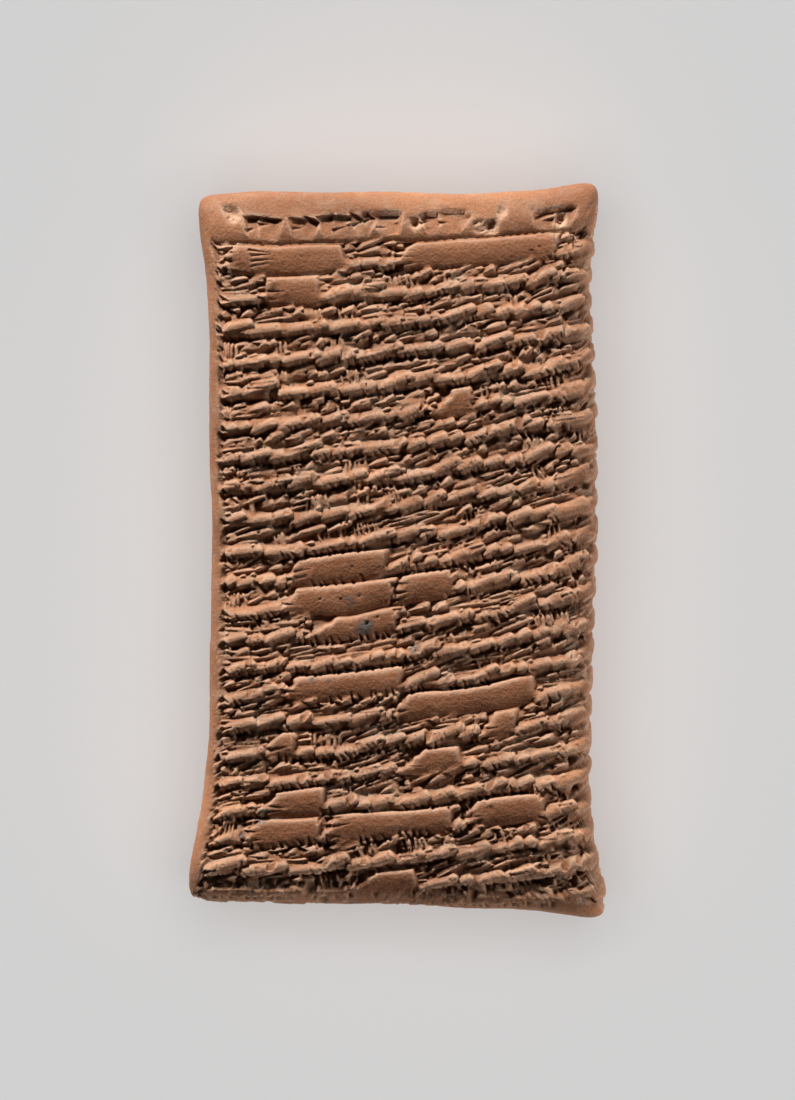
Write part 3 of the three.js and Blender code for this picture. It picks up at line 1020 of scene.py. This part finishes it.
@dataclass
class Palette:
    """The nodes of one material, with short ways to add to them."""

    name: str
    material: bpy.types.Material = field(init=False)
    tree: bpy.types.NodeTree = field(init=False)
    shader: bpy.types.Node = field(init=False)

    def __post_init__(self) -> None:
        """Open the material."""
        self.material = bpy.data.materials.new(self.name)
        self.material.use_nodes = True
        self.tree = self.material.node_tree
        self.shader = self.tree.nodes["Principled BSDF"]

    def link(self, source: Socket, target: Socket) -> None:
        """Feed one socket from another."""
        self.tree.links.new(source, target)

    def noise(self, size: float, detail: float) -> Socket:
        """Noise in the tablet's own coordinates.

        Args:
            size: How far its lumps are across, in metres.
            detail: How many finer layers it has.

        Returns:
            Its strength.
        """
        node = self.tree.nodes.new("ShaderNodeTexNoise")
        node.inputs["Scale"].default_value = 1 / size
        node.inputs["Detail"].default_value = detail
        self.link(self.tree.nodes.new("ShaderNodeTexCoord").outputs["Object"], node.inputs["Vector"])
        return node.outputs["Fac"]

    def layer(self, name: str) -> Socket:
        """One of the tablet's painted layers."""
        node = self.tree.nodes.new("ShaderNodeAttribute")
        node.attribute_name = name
        return node.outputs["Fac"]

    def span(self, value: Socket, low: float, high: float, most: float) -> Socket:
        """Stretch a value softly.

        Args:
            value: What to stretch.
            low: Where the result is 0.
            high: Where it is greatest.
            most: How great.

        Returns:
            The stretched value.
        """
        node = self.tree.nodes.new("ShaderNodeMapRange")
        node.interpolation_type = "SMOOTHSTEP"
        self.link(value, node.inputs["Value"])
        node.inputs["From Min"].default_value = low
        node.inputs["From Max"].default_value = high
        node.inputs["To Max"].default_value = most
        return node.outputs["Result"]

    def multiply(self, first: Socket, second: Socket) -> Socket:
        """Multiply two values.

        Args:
            first: One value.
            second: The other.

        Returns:
            Their product.
        """
        node = self.tree.nodes.new("ShaderNodeMath")
        node.operation = "MULTIPLY"
        self.link(first, node.inputs[0])
        self.link(second, node.inputs[1])
        return node.outputs["Value"]

    def mix(self, share: Socket, under: Socket | Colour, over: Colour) -> Socket:
        """Lay one colour over another.

        Args:
            share: How much of the upper one shows.
            under: The lower colour.
            over: The upper colour.

        Returns:
            The mixed colour.
        """
        node = self.tree.nodes.new("ShaderNodeMix")
        node.data_type = "RGBA"
        self.link(share, node.inputs["Factor"])
        lower, upper = [socket for socket in node.inputs if socket.type == "RGBA"]
        upper.default_value = (*over, 1)
        if isinstance(under, tuple):
            lower.default_value = (*under, 1)
        else:
            self.link(under, lower)
        return next(socket for socket in node.outputs if socket.type == "RGBA")

    def bump(self, height: Socket, distance: float, under: Socket | None) -> Socket:
        """Raise a pattern.

        Args:
            height: The pattern.
            distance: How far, in metres.
            under: A bump it lies over, if any.

        Returns:
            The bumped normal.
        """
        node = self.tree.nodes.new("ShaderNodeBump")
        node.inputs["Distance"].default_value = distance
        self.link(height, node.inputs["Height"])
        if under is not None:
            self.link(under, node.inputs["Normal"])
        return node.outputs["Normal"]


@dataclass(frozen=True)
class Coat:
    """A colour laid on where a pattern or painted layer rises from low to high."""

    pattern: str
    colour: Colour
    low: float = 0.0
    high: float = 1.0
    most: float = 1.0
    broken_by: str = ""  # a pattern that breaks the coat up, where low and high are read instead


@dataclass(frozen=True)
class ClayFinish:
    """Fired reddish clay, with grain, uneven tone, dusty hollows and grey stains, a painted highlight on the
    crests and painted shade deep in the hollows.
    """

    ground: Colour = (0.28, 0.112, 0.050)
    coats: tuple[Coat, ...] = (
        Coat("tone", (0.415, 0.178, 0.082), 0.36, 0.66),  # the body of the clay
        Coat("blush", (0.62, 0.41, 0.285), 0.48, 0.8, 0.32),
        Coat("mottle", (0.29, 0.205, 0.150), 0.47, 0.68, 0.34),  # thin greyish coat left from burial
        # darker, redder colour where the clay is left smooth, fullest on the plain stretches
        Coat("smooth_tone", (0.33, 0.120, 0.048), most=0.7),
        Coat("grain", (0.28, 0.112, 0.050), 0.5, 0.72, 0.5),
        Coat("specks", (0.62, 0.41, 0.285), 0.55, 0.7, 0.4),
        # painted highlight: paler colour on the ridge tops
        Coat("crest", (0.62, 0.41, 0.285), most=0.5),
        # painted shade: darker colour deep in the recesses of the relief
        Coat("hollow_shade", (0.13, 0.055, 0.026), most=0.6),
        Coat("dust", (0.52, 0.38, 0.27), 0.4, 0.6, broken_by="blush"),
        Coat("fresh", (0.66, 0.42, 0.28), 0.1, 0.9, 0.6),
        Coat("stain", (0.12, 0.12, 0.115), 0.3, 0.55, broken_by="grain"),
    )
    patterns: tuple[tuple[str, float, float], ...] = (  # name, size of its lumps in metres, detail
        ("tone", 0.011, 5), ("blush", 0.0032, 4), ("mottle", 0.0015, 7),
        ("grain", 0.00042, 3), ("specks", 0.00016, 2),
    )
    bumps: tuple[tuple[str, float], ...] = (("blush", 0.00012), ("grain", 0.00011), ("specks", 0.000035))
    roughness: float = 0.78
    unevenness: float = 0.12
    gloss: float = 0.35

    def make(self) -> bpy.types.Material:
        """Mix the clay.

        Returns:
            The finished material.
        """
        palette = Palette("fired_clay")
        shader = palette.shader
        patterns = {name: palette.noise(size, detail) for name, size, detail in self.patterns}
        colour: Socket | Colour = self.ground
        for coat in self.coats:
            pattern = patterns[coat.pattern] if coat.pattern in patterns else palette.layer(coat.pattern)
            share = palette.span(patterns.get(coat.broken_by, pattern), coat.low, coat.high, coat.most)
            if coat.broken_by:
                share = palette.multiply(pattern, share)
            colour = palette.mix(share, colour, coat.colour)
        palette.link(colour, shader.inputs["Base Color"])
        rough = palette.tree.nodes.new("ShaderNodeMapRange")
        palette.link(patterns["grain"], rough.inputs["Value"])
        rough.inputs["To Min"].default_value = self.roughness - self.unevenness
        rough.inputs["To Max"].default_value = self.roughness + self.unevenness
        palette.link(rough.outputs["Result"], shader.inputs["Roughness"])
        shader.inputs["Specular IOR Level"].default_value = self.gloss
        raised = None
        for name, distance in self.bumps:
            raised = palette.bump(patterns[name], distance, raised)
        palette.link(raised, shader.inputs["Normal"])
        return palette.material


@dataclass(frozen=True)
class BackdropFinish:
    """Matt pale paper."""

    colour: Colour = (0.62, 0.62, 0.62)
    roughness: float = 0.9
    gloss: float = 0.1

    def make(self) -> bpy.types.Material:
        """Make the paper.

        Returns:
            The finished material.
        """
        palette = Palette("pale_paper")
        palette.shader.inputs["Base Color"].default_value = (*self.colour, 1)
        palette.shader.inputs["Roughness"].default_value = self.roughness
        palette.shader.inputs["Specular IOR Level"].default_value = self.gloss
        return palette.material


@dataclass
class ClayTablet:
    """The tablet: a gridded cube drawn out into the lump, with the sheet of relief laid over it."""

    lump: Lump = Lump()
    sheet: Sheet = field(default_factory=Sheet)
    wear: Wear = Wear()
    finish: ClayFinish = ClayFinish()
    columns: int = 330
    rows: int = 740
    levels: int = 40  # down the sides
    rings: int = 30  # on the reverse
    eye: float = 0.02  # size of the innermost ring
    triangles: int = 197_000
    reverse_relief: float = 0.55
    reverse_start: float = 33.0  # how far below the middle the rows begin to show on the reverse
    reverse_full: float = 40.0  # and where they show fully
    softness: float = 0.03
    nearness: float = 1.0155  # the sheet is laid down this much smaller
    swell: float = 0.14  # height of the lump's broad unevenness
    swell_size: float = 9.0
    hollow_shade_reach: float = 1.2  # painted shade in hollows: their depth is measured against the clay this far round them
    hollow_shade_depth: float = 0.55
    # painted highlight on crests: how far round them the clay is measured, and the height where it is full
    crest_highlight_reach: float = 0.35
    crest_highlight_height: float = 0.14
    dust_depth: float = 0.2
    layers: dict[str, Array] = field(default_factory=dict)

    def build(self) -> bpy.types.Object:
        """Model, dress and place the tablet.

        Returns:
            The finished object, at the origin.
        """
        self._work_sheet()
        mesh = self._cube()
        place = np.empty(len(mesh.vertices) * 3)
        mesh.vertices.foreach_get("co", place)
        place = self._spread(place.reshape(-1, 3))
        met = self.lump.meet(place)
        points = self.lump.points(met)
        self._put(mesh, points)
        normals = np.empty(len(mesh.vertices) * 3)
        mesh.vertex_normals.foreach_get("vector", normals)
        sides = self._sides(place)
        over, up = self._unrolled(place, met, points, sides)
        strength = self._strength(met, points, sides)
        relief = self.sheet.read(self.sheet.heights, over, up) * strength
        swell = self.sheet.read(self.layers["swell"], points[:, 0], points[:, 1] + points[:, 2])
        relief += self.swell * swell
        points += normals.reshape(-1, 3) * relief[:, None]
        self._rest(points)
        self._put(mesh, points)
        # of these layers, the one for hollows is painted shade in the recesses and the one for crests a
        # painted highlight on the ridge tops; the others are the clay's own dust, stains, chips and smooth
        # tone
        for name in ("hollow_shade", "crest", "dust", "stain", "fresh", "smooth_tone"):
            layer = mesh.attributes.new(name, "FLOAT", "POINT")
            layer.data.foreach_set("value", self.sheet.read(self.layers[name], over, up) * strength)
        return self._finished(mesh)

    def _work_sheet(self) -> None:
        """Write and wear the sheet, and paint its layers."""
        scribe = Scribe(self.sheet)
        scribe.work()
        sheet, rng = self.sheet, scribe.rng
        fresh = self.wear.wear_down(sheet)
        sheet.heights = sheet.soften(sheet.heights, self.softness)
        # depth of each cell below the clay around it, which sets the painted shade in hollows
        sunk = sheet.soften(sheet.heights, self.hollow_shade_reach) - sheet.heights
        # how far each cell lies below the clay close round it; crests, where it is below zero, get the
        # painted highlight, and grooves get dust
        near = sheet.soften(sheet.heights, self.crest_highlight_reach) - sheet.heights
        self.layers = {
            "swell": sheet.noise(rng, self.swell_size),
            # painted shade, darkest deep in the recesses
            "hollow_shade": np.clip(sunk / self.hollow_shade_depth, 0, 1),
            # painted highlight, palest on the ridge tops
            "crest": np.clip(-near / self.crest_highlight_height, 0, 1),
            "dust": np.clip(near / self.dust_depth, 0, 1) * np.clip(sheet.noise(rng, 3.0) + 0.2, 0, 1),
            "fresh": np.maximum(fresh, self.wear.blots(sheet, self.wear.specks)),
            "stain": self.wear.blots(sheet, self.wear.stains),
            "smooth_tone": scribe.bare,
        }

    def _cube(self) -> bpy.types.Mesh:
        """A closed cube from -1 to 1: a fine grid above, ringed sides and ringed underneath.

        Returns:
            The mesh, facing outwards.
        """
        sheet = bmesh.new()
        bmesh.ops.create_grid(sheet, x_segments=self.columns, y_segments=self.rows, size=1)
        bmesh.ops.translate(sheet, verts=sheet.verts, vec=(0, 0, 1))
        rim = [edge for edge in sheet.edges if edge.is_boundary]
        foot, walls = self._drawn_on(sheet, rim, Matrix.Translation((0, 0, -2)))
        bmesh.ops.subdivide_edges(sheet, edges=walls, cuts=self.levels - 1)
        shrink = Matrix.Diagonal((self.eye, self.eye, 1, 1))
        eye, spokes = self._drawn_on(sheet, foot, shrink)
        bmesh.ops.subdivide_edges(sheet, edges=spokes, cuts=self.rings - 1)
        middle = bmesh.ops.edgeloop_fill(sheet, edges=eye)["faces"]
        bmesh.ops.triangulate(sheet, faces=middle)
        bmesh.ops.recalc_face_normals(sheet, faces=sheet.faces)
        mesh = bpy.data.meshes.new(NODE + "_clay")
        sheet.to_mesh(mesh)
        sheet.free()
        return mesh

    @staticmethod
    def _drawn_on(sheet: bmesh.types.BMesh, edges: list, by: Matrix) -> tuple[list, list]:
        """Draw a loop of edges out into a new band.

        Args:
            sheet: The mesh being made.
            edges: The open loop.
            by: How the new loop is moved from the old.

        Returns:
            The new open loop, and the edges that join it to the old one.
        """
        new = bmesh.ops.extrude_edge_only(sheet, edges=edges)["geom"]
        corners = [item for item in new if isinstance(item, bmesh.types.BMVert)]
        bmesh.ops.transform(sheet, matrix=by, verts=corners)
        drawn = [item for item in new if isinstance(item, bmesh.types.BMEdge)]
        loop = [edge for edge in drawn if edge.is_boundary]
        kept = set(loop)
        ties = [edge for corner in corners for edge in corner.link_edges if edge not in kept]
        return loop, ties

    def _spread(self, place: Array) -> Array:
        """Crowd the cube's levels beside the obverse, and its rings near the rim of the reverse.

        Args:
            place: Corners of the cube, evenly spaced.

        Returns:
            The same corners, moved along the walls and the spokes.
        """
        place = place.astype(float)
        down = (1 - place[:, 2]) / 2
        place[:, 2] = 1 - 2 * (0.45 * down + 0.55 * down**2.2)
        outer = np.max(np.abs(place[:, :2]), axis=1)
        under = down > ON_FACE
        share = (1 - outer) / (1 - self.eye)
        wanted = 1 - (1 - self.eye) * (0.35 * share + 0.65 * share**2)
        place[under, :2] *= (wanted / np.maximum(outer, 1e-9))[under, None]
        return place

    @staticmethod
    def _put(mesh: bpy.types.Mesh, points: Array) -> None:
        """Move the mesh's corners to points."""
        mesh.vertices.foreach_set("co", points.ravel())
        mesh.update()

    @staticmethod
    def _sides(place: Array) -> Array:
        """Which side of the cube each corner lies on.

        Args:
            place: Corners of the cube.

        Returns:
            The value of a Side for each.
        """
        across, along, up = place.T
        side = np.full(len(place), Side.END.value)
        side[across > ON_FACE] = Side.RIGHT.value
        side[across < -ON_FACE] = Side.LEFT.value
        side[up > ON_FACE] = Side.OBVERSE.value
        side[up < -ON_FACE] = Side.REVERSE.value
        return side

    def _unrolled(self, place: Array, met: Array, points: Array, sides: Array) -> tuple[Array, Array]:
        """Where each corner lies on the unrolled sheet.

        Args:
            place: Corners of the cube.
            met: The same, on the unit lump.
            points: The same, on the bare lump.
            sides: Their sides.

        Returns:
            Places across and heights along the sheet.
        """
        rim = place.copy()
        rim[:, 2] = 1
        drop = self.lump.points(self.lump.meet(rim))[:, 2] - points[:, 2]
        over = met[:, 0] * self.lump.half_width * self.nearness
        over = over + drop * (sides == Side.RIGHT.value) - drop * (sides == Side.LEFT.value)
        up = points[:, 1] * self.nearness + np.sign(met[:, 1]) * drop * (sides == Side.END.value)
        return over, up

    def _strength(self, met: Array, points: Array, sides: Array) -> Array:
        """How strongly the relief shows at each corner.

        Args:
            met: Corners of the cube, on the unit lump.
            points: The same, on the bare lump.
            sides: Their sides.

        Returns:
            1 on the obverse, less low on the reverse, and 0 on the rest of it.
        """
        low = smoothstep(self.reverse_start, self.reverse_full, -points[:, 1])
        middle = smoothstep(-0.92, -0.8, -np.abs(met[:, 0])) * smoothstep(-0.99, -0.93, -np.abs(met[:, 1]))
        return np.where(sides == Side.REVERSE.value, self.reverse_relief * low * middle, 1.0)

    def _rest(self, points: Array) -> None:
        """Centre the tablet, set it down on its flat place and turn it to metres.

        Args:
            points: Points in millimetres from the middle of the lump, changed in place.
        """
        points[:, 2] = np.maximum(points[:, 2] + self.lump.resting_level, 0)
        for axis in (0, 1):
            points[:, axis] -= (points[:, axis].min() + points[:, axis].max()) / 2
        points *= METRES

    def _finished(self, mesh: bpy.types.Mesh) -> bpy.types.Object:
        """Thin the mesh where it is flat, and dress it.

        Args:
            mesh: The full mesh.

        Returns:
            The piece.
        """
        full = bpy.data.objects.new(NODE + "_full", mesh)
        bpy.context.scene.collection.objects.link(full)
        thin = full.modifiers.new("thin", "DECIMATE")
        thin.ratio = self.triangles / sum(len(face.vertices) - 2 for face in mesh.polygons)
        thin.use_collapse_triangulate = True
        graph = bpy.context.evaluated_depsgraph_get()
        thinned = bpy.data.meshes.new_from_object(
            full.evaluated_get(graph), preserve_all_data_layers=True, depsgraph=graph
        )
        bpy.data.objects.remove(full)
        thinned.name = NODE + "_clay"
        thinned.shade_smooth()
        thinned.materials.clear()
        thinned.materials.append(self.finish.make())
        piece = bpy.data.objects.new("clay_tablet", thinned)
        bpy.context.scene.collection.objects.link(piece)
        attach(piece, "root")
        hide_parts(NODE)
        return piece


@dataclass(frozen=True)
class Lamp:
    """A square lamp that faces the tablet and lights only what it is told to."""

    name: str
    turn: float  # degrees anticlockwise from the right
    rise: float  # degrees above the floor
    distance: float
    size: float
    power: float
    colour: Colour = (1, 1, 1)
    casts: bool = True  # whether the tablet's shadow shows in its light

    def hang(self, aim: Vector, lit: bpy.types.Object) -> None:
        """Hang the lamp.

        Args:
            aim: What it faces.
            lit: The only object it lights.
        """
        light = bpy.data.lights.new(self.name, "AREA")
        light.size = self.size
        light.energy = self.power
        light.color = self.colour
        lamp = bpy.data.objects.new(self.name, light)
        turn, rise = math.radians(self.turn), math.radians(self.rise)
        away = Vector((math.cos(rise) * math.cos(turn), math.cos(rise) * math.sin(turn), math.sin(rise)))
        lamp.location = aim + away * self.distance
        lamp.rotation_euler = away.to_track_quat("Z", "Y").to_euler()
        bpy.context.scene.collection.objects.link(lamp)
        group = bpy.data.collections.new(self.name + "_lights")
        group.objects.link(lit)
        lamp.light_linking.receiver_collection = group
        if not self.casts:
            lamp.light_linking.blocker_collection = group


@dataclass
class Studio:
    """A pale floor, soft lamps and the camera above the tablet."""

    floor_size: float = 3.0
    camera_height: float = 0.8055
    lens: float = 180.0
    nearest: float = 0.01
    aim: tuple[float, float, float] = (0.0, 0.0, 0.012)
    tablet_lamps: tuple[Lamp, ...] = (
        Lamp("key", 113.0, 18.0, 3.0, 0.34, 186.0, (1, 0.97, 0.93)),
        Lamp("fill", 250.0, 60.0, 0.9, 0.8, 0.05, (0.93, 0.96, 1.0)),
        Lamp("side", 0.0, 10.0, 0.8, 0.3, 4.4, (1, 0.97, 0.94)),
        Lamp("front", 285.0, 0.0, 0.6, 0.02, 0.9, (1, 0.97, 0.94)),
    )
    floor_lamps: tuple[Lamp, ...] = (
        Lamp("table_lamp", 110.0, 88.0, 2.5, 2.5, 48.0, casts=False),
        Lamp("contact_lamp", 110.0, 88.0, 2.5, 2.5, 36.0),
    )
    room_colour: Colour = (0.9, 0.93, 1.0)
    room_light: float = 0.005
    paper: BackdropFinish = BackdropFinish()

    def floor(self) -> bpy.types.Object:
        """Lay the floor.

        Returns:
            The floor object.
        """
        paper = bmesh.new()
        bmesh.ops.create_grid(paper, x_segments=1, y_segments=1, size=self.floor_size / 2)
        mesh = bpy.data.meshes.new("floor")
        paper.to_mesh(mesh)
        paper.free()
        mesh.materials.append(self.paper.make())
        floor = bpy.data.objects.new("floor", mesh)
        bpy.context.scene.collection.objects.link(floor)
        return floor

    def camera(self) -> None:
        """Hang the camera straight above the tablet."""
        data = bpy.data.cameras.new("camera")
        data.lens = self.lens
        data.clip_start = self.nearest
        camera = bpy.data.objects.new("camera", data)
        camera.location = Vector(self.aim) + Vector((0, 0, self.camera_height))
        bpy.context.scene.collection.objects.link(camera)
        bpy.context.scene.camera = camera

    def room(self) -> None:
        """Light the room faintly, and show colours as they are mixed."""
        world = bpy.data.worlds.new("room")
        world.use_nodes = True
        background = world.node_tree.nodes["Background"]
        background.inputs["Color"].default_value = (*self.room_colour, 1)
        background.inputs["Strength"].default_value = self.room_light
        bpy.context.scene.world = world
        bpy.context.scene.view_settings.view_transform = "Standard"

    def dress(self, tablet: bpy.types.Object) -> None:
        """Set the whole studio round the tablet.

        Args:
            tablet: The finished tablet.
        """
        floor = self.floor()
        for lit, lamps in ((tablet, self.tablet_lamps), (floor, self.floor_lamps)):
            for lamp in lamps:
                lamp.hang(Vector(self.aim), lit)
        self.room()
        self.camera()


def main() -> None:
    """Build the tablet and the studio, and report them."""
    logging.basicConfig(level=logging.INFO, format="%(name)s: %(message)s")
    tablet = ClayTablet().build()
    LOG.info("%s: %d triangles", tablet.name, len(tablet.data.polygons))
    Studio().dress(tablet)
    LOG.info("studio set")
    bpy.context.view_layer.update()


if __name__ == "__main__":
    main()
